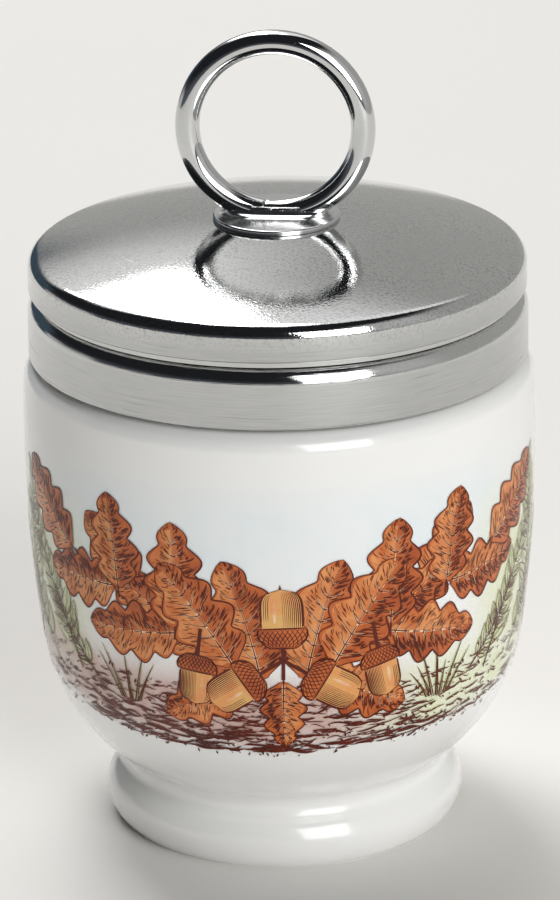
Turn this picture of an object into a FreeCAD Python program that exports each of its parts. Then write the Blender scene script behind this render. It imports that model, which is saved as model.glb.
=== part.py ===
import FreeCAD, Part
import math
import os

# Porcelain egg coddler: a footed cup with a screw lid, and a finger ring on the lid.
# Millimetres, +Z up. The origin is the centre of the foot, on the surface it stands on.
# The cup's outline is a chain of arcs, each tangent to the next, turned about +Z.

# Cup, foot and waist
foot_radius = 20.2
foot_widest_height = 2.9
foot_tuck = 1.3
foot_ring_width = 3.3
foot_recess_depth = 3.0
waist_inset = 1.9
waist_height = 7.0
waist_hollow = 1.8

# Cup, bowl
belly_radius = 28.45
belly_height = 44.9
side_arc = 169.0
bowl_arc = 20.0
cup_wall = 4.4
inner_bowl_round = 16.0
floor_thickness = 4.6

# Cup, shoulder and neck
shoulder_height = 54.2
shoulder_round = 2.2
neck_inset = 4.05
neck_height = 10.0
neck_wall = 2.6
rim_round = 0.8
inner_shoulder_drop = 3.0

# Sealing ring, loose on the rim
seal_thickness = 1.3
seal_side_clearance = 0.3
seal_top_clearance = 0.3

# Screw collar, the lid's lower band
thread_clearance = 0.8
collar_wall = 2.45
collar_gap = 0.4
collar_band = 7.1
collar_shoulder_round = 2.2
spigot_top_clearance = 0.2

# Domed cap, pressed over the collar's spigot
cap_step = 0.15
cap_sheet = 0.8
cap_corner_round = 1.3
cap_dome_radius = 97.0
groove_width = 0.4
fit_clearance = 0.1

# Boss, washer and finger ring
boss_radius = 7.0
boss_thickness = 0.6
boss_edge_round = 0.25
shank_radius = 5.0
shank_head_overhang = 0.8
shank_head_height = 0.8
washer_thickness = 1.0
seat_margin = 0.2
ring_inner_radius = 8.3
ring_wire_radius = 1.35
ring_wire_sides = 8
ring_sink = 1.3
ring_seat_clearance = 0.05

# Radii and heights that follow from the sizes above
foot_edge_radius = foot_radius - foot_tuck
foot_inner_radius = foot_edge_radius - foot_ring_width
waist_radius = foot_radius - waist_inset
neck_radius = belly_radius - neck_inset
neck_bore_radius = neck_radius - neck_wall
chamber_radius = belly_radius - cup_wall
floor_height = foot_recess_depth + floor_thickness
rim_height = shoulder_height + neck_height

collar_bore_radius = neck_radius + thread_clearance
collar_radius = collar_bore_radius + collar_wall
collar_bottom = shoulder_height + collar_gap
collar_top = collar_bottom + collar_band

seal_outer_radius = collar_bore_radius - seal_side_clearance
seal_top = rim_height + seal_thickness

cap_radius = collar_radius - cap_step
cap_bottom = collar_top + groove_width
cap_inner_dome_radius = cap_dome_radius - cap_sheet
cap_seat_radius = boss_radius + seat_margin
# The dome's centre puts the cap's underside just above the sealing ring's outer edge
dome_centre_z = seal_top + seal_top_clearance - math.sqrt(cap_inner_dome_radius ** 2 - seal_outer_radius ** 2)
cap_seat_height = dome_centre_z + math.sqrt(cap_dome_radius ** 2 - cap_seat_radius ** 2)
cap_corner_x = cap_radius - cap_corner_round
cap_corner_z = dome_centre_z + math.sqrt((cap_dome_radius - cap_corner_round) ** 2 - cap_corner_x ** 2)
spigot_radius = cap_radius - cap_sheet - fit_clearance
spigot_top = cap_corner_z - spigot_top_clearance

boss_top = cap_seat_height + boss_thickness
cap_seat_underside = cap_seat_height - cap_sheet
washer_bottom = cap_seat_underside - washer_thickness
ring_radius = ring_inner_radius + ring_wire_radius
ring_height = boss_top - ring_sink + ring_wire_radius + ring_radius


def at(point):
    """The point (radius, height) of an outline, in the XZ plane."""
    return FreeCAD.Vector(point[0], 0, point[1])


def line(start, end):
    return Part.LineSegment(at(start), at(end)).toShape()


def toward(start, end, distance):
    """The point at a distance from start, on the way to end."""
    length = math.dist(start, end)
    return (start[0] + (end[0] - start[0]) * distance / length,
            start[1] + (end[1] - start[1]) * distance / length)


def arc(centre, start, end):
    """The shorter arc about a centre."""
    halfway = ((start[0] + end[0]) / 2, (start[1] + end[1]) / 2)
    middle = toward(centre, halfway, math.dist(centre, start))
    return Part.Arc(at(start), at(middle), at(end)).toShape()


def arc_runs(centre, start, end, runs):
    """The shorter arc about a centre, drawn as equal straight runs so that few faces are turned from it."""
    radius = math.dist(centre, start)
    first = math.atan2(start[1] - centre[1], start[0] - centre[0])
    last = math.atan2(end[1] - centre[1], end[0] - centre[0])
    sweep = math.remainder(last - first, 2 * math.pi)
    points = [start]
    for step in range(1, runs):
        angle = first + sweep * step / runs
        points.append((centre[0] + radius * math.cos(angle), centre[1] + radius * math.sin(angle)))
    points.append(end)
    return [line(here, there) for here, there in zip(points, points[1:])]


def circles_meet(centre_a, radius_a, centre_b, radius_b, side):
    """Where two circles cross, on the left (1) or the right (-1) of the way from a to b."""
    apart = math.dist(centre_a, centre_b)
    along = (radius_a ** 2 - radius_b ** 2 + apart ** 2) / (2 * apart)
    across = side * math.sqrt(radius_a ** 2 - along ** 2)
    foot = toward(centre_a, centre_b, along)
    step_x = (centre_b[0] - centre_a[0]) / apart
    step_z = (centre_b[1] - centre_a[1]) / apart
    return (foot[0] - across * step_z, foot[1] + across * step_x)


def rounded(*corners, runs=1):
    """Edges through corners (radius, height, rounding), with straight runs between them.

    A rounding is drawn as that many runs, so one run makes it a chamfer.
    """
    edges = []
    start = corners[0][:2]
    for before, corner, after in zip(corners, corners[1:], corners[2:]):
        here = corner[:2]
        radius = corner[2]
        if radius == 0:
            edges.append(line(start, here))
            start = here
            continue
        to_before = toward((0, 0), (before[0] - here[0], before[1] - here[1]), 1)
        to_after = toward((0, 0), (after[0] - here[0], after[1] - here[1]), 1)
        half_angle = math.acos(to_before[0] * to_after[0] + to_before[1] * to_after[1]) / 2
        setback = radius / math.tan(half_angle)
        enters = toward(here, before[:2], setback)
        leaves = toward(here, after[:2], setback)
        bisector = (to_before[0] + to_after[0], to_before[1] + to_after[1])
        centre = toward(here, (here[0] + bisector[0], here[1] + bisector[1]), radius / math.sin(half_angle))
        edges.append(line(start, enters))
        edges += arc_runs(centre, enters, leaves, runs)
        start = leaves
    edges.append(line(start, corners[-1][:2]))
    return edges


def turned(edges):
    """The solid that a closed outline makes when it is turned about +Z."""
    face = Part.Face(Part.Wire(edges))
    return face.revolve(FreeCAD.Vector(0, 0, 0), FreeCAD.Vector(0, 0, 1), 360)


def make_cup():
    """One piece of porcelain: recessed foot, waist, bowl, shoulder and plain neck."""
    # Foot: a low drum, widest above the surface, rounding in to the waist
    foot_edge = (foot_edge_radius, 0)
    foot_widest = (foot_radius, foot_widest_height)
    lower_arc = (foot_tuck ** 2 + foot_widest_height ** 2) / (2 * foot_tuck)
    lower_centre = (foot_radius - lower_arc, foot_widest_height)
    waist_centre = (waist_radius + waist_hollow, waist_height)
    out = foot_radius - waist_centre[0]
    up = foot_widest_height - waist_height
    upper_arc = (out ** 2 + up ** 2 - waist_hollow ** 2) / (2 * (waist_hollow + out))
    upper_centre = (foot_radius - upper_arc, foot_widest_height)
    foot_to_waist = toward(upper_centre, waist_centre, upper_arc)

    # Bowl: one arc rises out of the waist, and a long one carries it to the shoulder
    side_centre = (belly_radius - side_arc, belly_height)
    bowl_centre = circles_meet(side_centre, side_arc - bowl_arc, waist_centre, bowl_arc + waist_hollow, 1)
    waist_to_bowl = toward(waist_centre, bowl_centre, waist_hollow)
    bowl_to_side = toward(side_centre, bowl_centre, side_arc)
    shoulder_z = shoulder_height - shoulder_round
    reach = math.sqrt((side_arc - shoulder_round) ** 2 - (shoulder_z - belly_height) ** 2)
    shoulder_centre = (side_centre[0] + reach, shoulder_z)
    side_to_shoulder = toward(side_centre, shoulder_centre, side_arc)
    ledge = (shoulder_centre[0], shoulder_height)

    # Inside: straight walls on a round-cornered floor, drawn in under the shoulder to the neck's bore
    draw_in_end = shoulder_height
    draw_in_start = draw_in_end - inner_shoulder_drop - (chamber_radius - neck_bore_radius)

    edges = rounded(
        (0, foot_recess_depth),
        (foot_inner_radius, foot_recess_depth, 0),
        (foot_inner_radius, 0, 0),
        foot_edge)
    edges += arc_runs(lower_centre, foot_edge, foot_widest, 2)
    edges += arc_runs(upper_centre, foot_widest, foot_to_waist, 2)
    edges += arc_runs(waist_centre, foot_to_waist, waist_to_bowl, 2)
    edges += arc_runs(bowl_centre, waist_to_bowl, bowl_to_side, 4)
    edges.append(arc(side_centre, bowl_to_side, side_to_shoulder))
    edges += arc_runs(shoulder_centre, side_to_shoulder, ledge, 2)
    edges += rounded(
        ledge,
        (neck_radius, shoulder_height, 0),
        (neck_radius, rim_height, rim_round),
        (neck_bore_radius, rim_height, rim_round),
        (neck_bore_radius, draw_in_end, 0),
        (chamber_radius, draw_in_start))
    edges += rounded(
        (chamber_radius, draw_in_start),
        (chamber_radius, floor_height, inner_bowl_round),
        (0, floor_height, 0),
        (0, foot_recess_depth), runs=3)
    return turned(edges)


def make_sealing_ring():
    """Flat washer that lies on the porcelain rim, under the cap."""
    return turned(rounded(
        (neck_bore_radius, rim_height),
        (seal_outer_radius, rim_height, 0),
        (seal_outer_radius, seal_top, 0),
        (neck_bore_radius, seal_top, 0),
        (neck_bore_radius, rim_height)))


def make_screw_collar():
    """The lid's lower band: its shoulder rounds in under the cap, to the spigot that carries the cap."""
    shoulder_centre = (collar_radius - collar_shoulder_round, collar_top - collar_shoulder_round)
    band_end = (collar_radius, shoulder_centre[1])
    spigot_inset = spigot_radius - shoulder_centre[0]
    shoulder_rise = math.sqrt(collar_shoulder_round ** 2 - spigot_inset ** 2)
    spigot_foot = (spigot_radius, shoulder_centre[1] + shoulder_rise)
    edges = rounded(
        (collar_bore_radius, spigot_top),
        (collar_bore_radius, collar_bottom, 0),
        (collar_radius, collar_bottom, 0),
        band_end)
    edges += arc_runs(shoulder_centre, band_end, spigot_foot, 3)
    edges += rounded(
        spigot_foot,
        (spigot_radius, spigot_top, 0),
        (collar_bore_radius, spigot_top))
    return turned(edges)


def make_lid_cap():
    """Domed pressing of even sheet, with a short skirt and a flat seat for the boss."""
    dome_centre = (0, dome_centre_z)
    corner_centre = (cap_corner_x, cap_corner_z)
    hole_radius = shank_radius + fit_clearance
    skirt_inner_radius = cap_radius - cap_sheet
    outer_corner = toward(dome_centre, corner_centre, cap_dome_radius)
    inner_corner = toward(dome_centre, corner_centre, cap_inner_dome_radius)
    inner_seat_radius = math.sqrt(cap_inner_dome_radius ** 2 - (cap_seat_underside - dome_centre_z) ** 2)
    seat_edge = (cap_seat_radius, cap_seat_height)
    inner_seat_edge = (inner_seat_radius, cap_seat_underside)
    edges = [line((hole_radius, cap_seat_height), seat_edge)]
    edges += arc_runs(dome_centre, seat_edge, outer_corner, 2)
    edges += arc_runs(corner_centre, outer_corner, (cap_radius, cap_corner_z), 2)
    edges += [
        line((cap_radius, cap_corner_z), (cap_radius, cap_bottom)),
        line((cap_radius, cap_bottom), (skirt_inner_radius, cap_bottom)),
        line((skirt_inner_radius, cap_bottom), (skirt_inner_radius, cap_corner_z)),
    ]
    edges += arc_runs(corner_centre, (skirt_inner_radius, cap_corner_z), inner_corner, 1)
    edges += arc_runs(dome_centre, inner_corner, inner_seat_edge, 2)
    edges += [
        line(inner_seat_edge, (hole_radius, cap_seat_underside)),
        line((hole_radius, cap_seat_underside), (hole_radius, cap_seat_height)),
    ]
    return turned(edges)


def ring_torus(clearance=0):
    """The finger ring's own shape, standing in the XZ plane, grown by a clearance.

    Its wire has a many-sided section, turned about the ring's own axis, which lies along +Y.
    """
    radius = ring_wire_radius + clearance
    corners = []
    for side in range(ring_wire_sides + 1):
        angle = 2 * math.pi * side / ring_wire_sides
        corners.append(FreeCAD.Vector(ring_radius + radius * math.cos(angle), radius * math.sin(angle), ring_height))
    section = Part.Face(Part.makePolygon(corners))
    return section.revolve(FreeCAD.Vector(0, 0, ring_height), FreeCAD.Vector(0, 1, 0), 360)


def make_ring_boss():
    """Round boss on the cap, with a shank through it headed over the washer, grooved for the ring."""
    head_radius = shank_radius + shank_head_overhang
    head_bottom = washer_bottom - shank_head_height
    blank = turned(rounded(
        (0, head_bottom),
        (head_radius, head_bottom, 0),
        (head_radius, washer_bottom, 0),
        (shank_radius, washer_bottom, 0),
        (shank_radius, cap_seat_height, 0),
        (boss_radius, cap_seat_height, 0),
        (boss_radius, boss_top, boss_edge_round),
        (0, boss_top, 0),
        (0, head_bottom)))
    return blank.cut(ring_torus(ring_seat_clearance))


def make_boss_washer():
    """Backing washer between the cap's underside and the shank's head."""
    return turned(rounded(
        (shank_radius + fit_clearance, washer_bottom),
        (boss_radius, washer_bottom, 0),
        (boss_radius, cap_seat_underside, 0),
        (shank_radius + fit_clearance, cap_seat_underside, 0),
        (shank_radius + fit_clearance, washer_bottom)))


def make_finger_ring():
    """Round wire ring, fixed upright in the boss's groove."""
    return ring_torus()


pieces = {
    "cup": make_cup,
    "sealing_ring": make_sealing_ring,
    "screw_collar": make_screw_collar,
    "lid_cap": make_lid_cap,
    "ring_boss": make_ring_boss,
    "boss_washer": make_boss_washer,
    "finger_ring": make_finger_ring,
}

os.makedirs("parts", exist_ok=True)
for name, make in pieces.items():
    shape = make()
    shape.exportStep("parts/" + name + ".step")
    box = shape.BoundBox
    print(name, "solids", len(shape.Solids), "valid", shape.isValid(), "volume", round(shape.Volume, 1),
          "z", round(box.ZMin, 2), round(box.ZMax, 2), "across", round(box.XLength, 2))
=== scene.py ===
import bisect
import math
import random

import bmesh
import bpy
from bpy.props import FloatProperty, FloatVectorProperty, IntProperty, PointerProperty
from mathutils import Matrix, Vector


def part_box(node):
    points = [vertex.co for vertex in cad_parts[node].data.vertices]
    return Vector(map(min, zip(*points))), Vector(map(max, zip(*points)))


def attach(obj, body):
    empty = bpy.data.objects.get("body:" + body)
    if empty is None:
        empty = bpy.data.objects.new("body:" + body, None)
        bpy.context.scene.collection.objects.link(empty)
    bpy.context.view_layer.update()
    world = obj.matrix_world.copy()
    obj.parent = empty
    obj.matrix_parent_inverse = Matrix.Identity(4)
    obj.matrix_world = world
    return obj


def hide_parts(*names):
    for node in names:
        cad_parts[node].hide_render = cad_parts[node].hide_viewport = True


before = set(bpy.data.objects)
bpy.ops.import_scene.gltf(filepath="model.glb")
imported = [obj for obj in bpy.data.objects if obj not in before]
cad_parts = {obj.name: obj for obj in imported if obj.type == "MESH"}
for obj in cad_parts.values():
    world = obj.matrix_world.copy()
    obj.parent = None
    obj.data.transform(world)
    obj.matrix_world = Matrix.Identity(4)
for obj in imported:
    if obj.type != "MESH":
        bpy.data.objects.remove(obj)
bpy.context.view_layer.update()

bl_info = {
    "name": "Egg Coddler",
    "version": (1, 0, 0),
    "blender": (4, 5, 0),
    "location": "View3D > Sidebar > Coddler",
    "description": "Makes a porcelain egg coddler with a printed bowl, a bright screw lid and its stage",
    "category": "Add Mesh",
}

cup_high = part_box("cup")[1]
collar_low, collar_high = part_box("screw_collar")
cap_low, cap_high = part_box("lid_cap")
boss_low, boss_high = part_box("ring_boss")
ring_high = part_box("finger_ring")[1]
seal_low, seal_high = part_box("sealing_ring")
washer_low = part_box("boss_washer")[0]

MM = 0.001


def shade(red, green, blue):
    """A display colour, 0 to 255, as the linear colour that shaders take."""
    linear = []
    for value in (red, green, blue):
        value /= 255
        linear.append(value / 12.92 if value <= 0.04045 else ((value + 0.055) / 1.055) ** 2.4)
    return tuple(linear)


def length(name, description, millimetres):
    """A size that a user may change."""
    return FloatProperty(name=name, description=description, default=millimetres * MM,
                         unit="LENGTH", precision=5)


def colour(name, description, red, green, blue):
    """A colour that a user may change."""
    return FloatVectorProperty(name=name, description=description, default=shade(red, green, blue),
                               subtype="COLOR", min=0, max=1)


def brightness(name, description, value):
    """A brightness that a user may change; 1 is white."""
    return FloatProperty(name=name, description=description, default=value, min=0)


class CODDLER_PG_cup(bpy.types.PropertyGroup):
    """Sizes of the porcelain cup."""
    foot_radius: length("Foot radius", "Widest radius of the foot", 20.2)
    foot_widest_height: length("Foot's widest height", "Height at which the foot is widest", 2.9)
    foot_tuck: length("Foot tuck", "How far the foot's edge lies inside its widest radius", 1.3)
    foot_ring_width: length("Foot ring width", "Width of the ring that the cup stands on", 3.3)
    foot_recess: length("Foot recess", "Depth of the recess under the foot", 3.0)
    waist_inset: length("Waist inset", "How far the waist lies inside the foot", 1.9)
    waist_height: length("Waist height", "Height of the waist", 7.0)
    waist_hollow: length("Waist hollow", "Radius of the hollow round the waist", 1.8)
    belly_radius: length("Belly radius", "Widest radius of the bowl", 28.45)
    belly_height: length("Belly height", "Height at which the bowl is widest", 44.9)
    side_arc: length("Side arc", "Radius of the long arc of the bowl's side", 169.0)
    bowl_arc: length("Bowl arc", "Radius of the arc that turns the bowl in to the waist", 20.0)
    shoulder_height: length("Shoulder height", "Height of the ledge under the lid", 54.2)
    shoulder_round: length("Shoulder round", "Radius of the shoulder's edge", 2.2)
    neck_inset: length("Neck inset", "How far the neck lies inside the belly", 4.05)
    neck_wall: length("Neck wall", "Thickness of the porcelain at the rim", 2.6)
    root_round: length("Neck root", "Radius of the corner between ledge and neck", 0.6)
    rim_round: length("Rim round", "Radius of the rim's edges", 1.0)
    wall: length("Wall", "Thickness of the bowl at the belly", 4.4)
    inner_round: length("Inner round", "Radius of the corner between the floor and the inner wall", 16.0)
    floor: length("Floor", "Thickness of the porcelain over the foot's recess", 4.6)
    inner_drop: length("Inner shoulder drop", "Height over which the inside draws in to the neck", 3.0)


class CODDLER_PG_lid(bpy.types.PropertyGroup):
    """Sizes of the lid, its thread and its ring."""
    sheet: length("Sheet", "Thickness of the cap's metal", 0.8)
    corner_round: length("Corner round", "Radius between the cap's skirt and its dome", 1.65)
    dome_radius: length("Dome radius", "Radius of the dome", 97.0)
    skirt_lip: length("Skirt lip", "Radius of the skirt's lower edge", 0.3)
    shoulder_round: length("Collar shoulder", "Radius of the collar's upper edge", 2.2)
    collar_lip: length("Collar lip", "Radius of the collar's lower edge", 0.35)
    thread_clearance: length("Thread clearance", "Gap between the neck and the collar's bore", 0.8)
    thread_pitch: length("Thread pitch", "Rise of the lid in one turn", 4.0)
    neck_thread: length("Neck thread", "Height of the thread on the neck", 0.55)
    collar_thread: length("Collar thread", "Height of the thread in the collar", 0.45)
    boss_edge: length("Boss edge", "Radius of the boss's upper edge", 0.25)
    boss_thickness: length("Boss thickness", "Height of the boss over the cap", 0.6)
    shank_radius: length("Shank radius", "Radius of the boss's shank through the cap", 5.0)
    braze: length("Braze", "Radius of the metal drawn up round the foot of the ring", 0.95)
    seam_depth: length("Seam depth", "Depth of the nick where the ring's ends meet", 0.16)
    seam_offset: length("Seam offset", "Distance of the ring's seam from its lowest point", -1.3)


class CODDLER_PG_finish(bpy.types.PropertyGroup):
    """Colours of the glaze, the metals and the inks."""
    glaze: colour("Glaze", "White porcelain under clear glaze", 240, 240, 238)
    lid_metal: colour("Lid metal", "Bright metal of the lid", 212, 213, 212)
    ring_metal: colour("Ring metal", "Plated metal of the ring and boss", 216, 217, 217)
    seal: colour("Seal", "Pale rubber of the sealing ring", 196, 188, 170)
    dark_ink: colour("Dark ink", "Line work of the print", 100, 32, 12)
    russet_ink: colour("Russet ink", "Leaves", 200, 108, 54)
    amber_ink: colour("Amber ink", "Lighter parts of the leaves", 224, 150, 92)
    cream_ink: colour("Cream ink", "Veins of the leaves", 240, 212, 176)
    ochre_ink: colour("Ochre ink", "Nuts", 222, 176, 108)
    green_ink: colour("Green ink", "Small leaves and grass", 190, 200, 146)
    green_wash: colour("Green wash", "Pale tint behind the plants", 224, 229, 188)
    blue_wash: colour("Blue wash", "Pale tint above the sprig", 208, 230, 238)
    ground_wash: colour("Ground wash", "Mauve tint of the ground", 190, 140, 124)


class CODDLER_PG_stage(bpy.types.PropertyGroup):
    """Floor and light."""
    floor: colour("Floor", "Pale floor", 232, 230, 226)
    key: brightness("Key", "Brightness of the softbox behind on the left", 6.1)
    front: brightness("Front", "Brightness of the softbox in front on the right", 5.1)
    board: brightness("Board", "Brightness of the white board on the left", 1.0)
    room: brightness("Room", "Brightness of the room behind", 0.43)
    dark: brightness("Dark", "Brightness of the dark side of the room", 0.018)
    columns: IntProperty(name="Columns", description="Faces round each turned piece", default=224)


def toward(start, end, distance):
    """The point at a distance from start, on the way to end."""
    whole = math.dist(start, end)
    return (start[0] + (end[0] - start[0]) * distance / whole,
            start[1] + (end[1] - start[1]) * distance / whole)


def circles_meet(centre_a, radius_a, centre_b, radius_b):
    """Where two circles cross, on the left of the way from a to b."""
    apart = math.dist(centre_a, centre_b)
    along = (radius_a ** 2 - radius_b ** 2 + apart ** 2) / (2 * apart)
    across = math.sqrt(radius_a ** 2 - along ** 2)
    foot = toward(centre_a, centre_b, along)
    return (foot[0] - across * (centre_b[1] - centre_a[1]) / apart,
            foot[1] + across * (centre_b[0] - centre_a[0]) / apart)


def arc(centre, start, end, runs):
    """Points of the shorter arc about a centre, without its start."""
    radius = math.dist(centre, start)
    first = math.atan2(start[1] - centre[1], start[0] - centre[0])
    last = math.atan2(end[1] - centre[1], end[0] - centre[0])
    sweep = math.remainder(last - first, 2 * math.pi)
    points = []
    for step in range(1, runs + 1):
        angle = first + sweep * step / runs
        points.append((centre[0] + radius * math.cos(angle), centre[1] + radius * math.sin(angle)))
    return points


def straight(start, end, runs):
    """Points of a straight run, without its start."""
    return [(start[0] + (end[0] - start[0]) * step / runs, start[1] + (end[1] - start[1]) * step / runs)
            for step in range(1, runs + 1)]


def rounded(corners, runs=8):
    """Points through corners (radius, height, rounding)."""
    points = [corners[0][:2]]
    for before, corner, after in zip(corners, corners[1:], corners[2:]):
        here = corner[:2]
        rounding = corner[2]
        if rounding == 0:
            points.append(here)
            continue
        to_before = toward((0, 0), (before[0] - here[0], before[1] - here[1]), 1)
        to_after = toward((0, 0), (after[0] - here[0], after[1] - here[1]), 1)
        half_angle = math.acos(to_before[0] * to_after[0] + to_before[1] * to_after[1]) / 2
        setback = rounding / math.tan(half_angle)
        enters = toward(here, before[:2], setback)
        bisector = (to_before[0] + to_after[0], to_before[1] + to_after[1])
        inward = (here[0] + bisector[0], here[1] + bisector[1])
        centre = toward(here, inward, rounding / math.sin(half_angle))
        points.append(enters)
        points += arc(centre, enters, toward(here, after[:2], setback), runs)
    points.append(corners[-1][:2])
    return points


def turned(outline, closed):
    """A bmesh turned about +Z from an outline of (radius, height) points."""
    mesh = bmesh.new()
    verts = [mesh.verts.new((radius, 0, height)) for radius, height in outline]
    edges = [mesh.edges.new(pair) for pair in zip(verts, verts[1:])]
    if closed:
        edges.append(mesh.edges.new((verts[-1], verts[0])))
    bmesh.ops.spin(mesh, geom=verts + edges, cent=(0, 0, 0), axis=(0, 0, 1), angle=2 * math.pi,
                   steps=bpy.context.scene.coddler_stage.columns, use_merge=True)
    bmesh.ops.remove_doubles(mesh, verts=mesh.verts, dist=1e-7)
    bmesh.ops.recalc_face_normals(mesh, faces=mesh.faces)
    return mesh


def smooth_step(value, low, high):
    """0 below low, 1 above high, and a smooth rise between."""
    value = min(1, max(0, (value - low) / (high - low)))
    return value * value * (3 - 2 * value)


def finished_mesh(mesh, name):
    """Turns a bmesh into a mesh, and frees it."""
    data = bpy.data.meshes.new(name)
    mesh.to_mesh(data)
    mesh.free()
    return data


def add_object(name, data):
    """Puts a new object in the scene, at the origin."""
    thing = bpy.data.objects.new(name, data)
    bpy.context.scene.collection.objects.link(thing)
    return thing


def make_piece(mesh, name, body, material, replaces=(), sharp=math.radians(32)):
    """Turns a bmesh into a smooth piece that rides on a body."""
    for face in mesh.faces:
        face.smooth = True
    for edge in mesh.edges:
        if len(edge.link_faces) == 2 and edge.calc_face_angle() > sharp:
            edge.smooth = False
    piece = add_object(name, finished_mesh(mesh, name))
    piece.data.materials.append(material)
    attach(piece, body)
    if replaces:
        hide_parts(*replaces)
    return piece


def add_node(tree, kind, inputs=None, **settings):
    """A shader node with its settings, and values or links on its inputs."""
    node = tree.nodes.new(kind)
    for name, value in settings.items():
        setattr(node, name, value)
    for name, value in (inputs or {}).items():
        if isinstance(value, bpy.types.NodeSocket):
            tree.links.new(value, node.inputs[name])
        else:
            node.inputs[name].default_value = value
    return node


def new_group(name, inputs, outputs):
    """An empty node group with named float inputs, and outputs given as (name, socket type)."""
    group = bpy.data.node_groups.new(name, "ShaderNodeTree")
    for label, value in inputs:
        socket = group.interface.new_socket(name=label, in_out="INPUT", socket_type="NodeSocketFloat")
        socket.default_value = value
    for label, kind in outputs:
        group.interface.new_socket(name=label, in_out="OUTPUT", socket_type=kind)
    return group, group.nodes.new("NodeGroupInput").outputs, group.nodes.new("NodeGroupOutput").inputs


def place_group(tree, name, **inputs):
    """Puts a shared effect in a material and gives its outputs."""
    node = tree.nodes.new("ShaderNodeGroup")
    node.node_tree = bpy.data.node_groups[name]
    for label, value in inputs.items():
        node.inputs[label].default_value = value
    return node.outputs


def calculate(tree, operation, *values):
    """One step of arithmetic on numbers or sockets."""
    return add_node(tree, "ShaderNodeMath", dict(enumerate(values)), operation=operation).outputs[0]


def noise(tree, where, scale, detail=2.0, roughness=0.5):
    """Soft noise, 0 to 1, over a vector."""
    inputs = {"Vector": where, "Scale": scale, "Detail": detail, "Roughness": roughness}
    return add_node(tree, "ShaderNodeTexNoise", inputs).outputs["Fac"]


def ramp(tree, value, low, high, start=0.0, end=1.0, shape="LINEAR"):
    """A value carried from the range low to high into the range start to end."""
    inputs = {"Value": value, "From Min": low, "From Max": high, "To Min": start, "To Max": end}
    return add_node(tree, "ShaderNodeMapRange", inputs, interpolation_type=shape).outputs[0]


def make_pitting_group():
    """Handled bright metal: fine grain and peel as a height, worn patches, and small specks."""
    group, given, result = new_group("Pitting", [("Grain", 5200.0), ("Peel", 260.0)],
                                     [("Height", "NodeSocketFloat"), ("Wear", "NodeSocketFloat"),
                                      ("Specks", "NodeSocketFloat")])
    spot = add_node(group, "ShaderNodeTexCoord").outputs["Object"]
    fine = noise(group, spot, given["Grain"])
    peel = noise(group, spot, given["Peel"], 1.0)
    smear = noise(group, spot, 90.0, 5.0, 0.7)
    group.links.new(calculate(group, "ADD", fine, peel), result["Height"])
    group.links.new(ramp(group, smear, 0.38, 0.72), result["Wear"])
    group.links.new(ramp(group, fine, 0.47, 0.66), result["Specks"])


def make_turning_group():
    """Faint rings left by polishing on a lathe, and longer scratches along them."""
    group, given, result = new_group("Turning marks", [("Rings", 9000.0), ("Around", 6.0)],
                                     [("Height", "NodeSocketFloat"), ("Scratches", "NodeSocketFloat")])
    spot = add_node(group, "ShaderNodeTexCoord").outputs["Object"]
    parts = add_node(group, "ShaderNodeSeparateXYZ", {0: spot}).outputs
    turn = calculate(group, "MULTIPLY", calculate(group, "ARCTAN2", parts["Y"], parts["X"]), given["Around"])
    squared_x = calculate(group, "MULTIPLY", parts["X"], parts["X"])
    radius = calculate(group, "SQRT", calculate(group, "MULTIPLY_ADD", parts["Y"], parts["Y"], squared_x))
    rise = calculate(group, "MULTIPLY", parts["Z"], given["Rings"])
    reach = calculate(group, "MULTIPLY", radius, given["Rings"])
    where = add_node(group, "ShaderNodeCombineXYZ", {"X": turn, "Y": rise, "Z": reach}).outputs[0]
    coarse = add_node(group, "ShaderNodeVectorMath", {0: where, 1: (0.5, 0.35, 0.35)}, operation="MULTIPLY")
    lines = noise(group, coarse.outputs[0], 1.0, 1.0)
    group.links.new(noise(group, where, 1.0), result["Height"])
    group.links.new(ramp(group, lines, 0.66, 0.74), result["Scratches"])


def make_print_group():
    """Uneven ink: broad mottling of a printed film."""
    group, given, result = new_group("Uneven ink", [("Mottle", 420.0)], [("Tone", "NodeSocketFloat")])
    spot = add_node(group, "ShaderNodeTexCoord").outputs["Object"]
    mottle = noise(group, spot, given["Mottle"], 3.0)
    group.links.new(ramp(group, mottle, 0.35, 0.65), result["Tone"])


def new_material(name):
    """A material's node tree and its shader."""
    material = bpy.data.materials.new(name)
    material.use_nodes = True
    tree = material.node_tree
    return material, tree, tree.nodes["Principled BSDF"]


def mix_colours(tree, factor, first, second):
    """A blend of two colours or colour sockets."""
    mix = add_node(tree, "ShaderNodeMix", {"Factor": factor}, data_type="RGBA")
    for name, value in (("A", first), ("B", second)):
        socket = [item for item in mix.inputs if item.name == name and item.type == "RGBA"][0]
        if isinstance(value, bpy.types.NodeSocket):
            tree.links.new(value, socket)
        else:
            socket.default_value = (*value, 1)
    return [item for item in mix.outputs if item.type == "RGBA"][0]


def set_glaze(shader):
    """Clear glaze over porcelain or over a printed film."""
    shader.inputs["Roughness"].default_value = 0.22
    shader.inputs["IOR"].default_value = 1.5
    shader.inputs["Coat Weight"].default_value = 0.7
    shader.inputs["Coat Roughness"].default_value = 0.03


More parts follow.
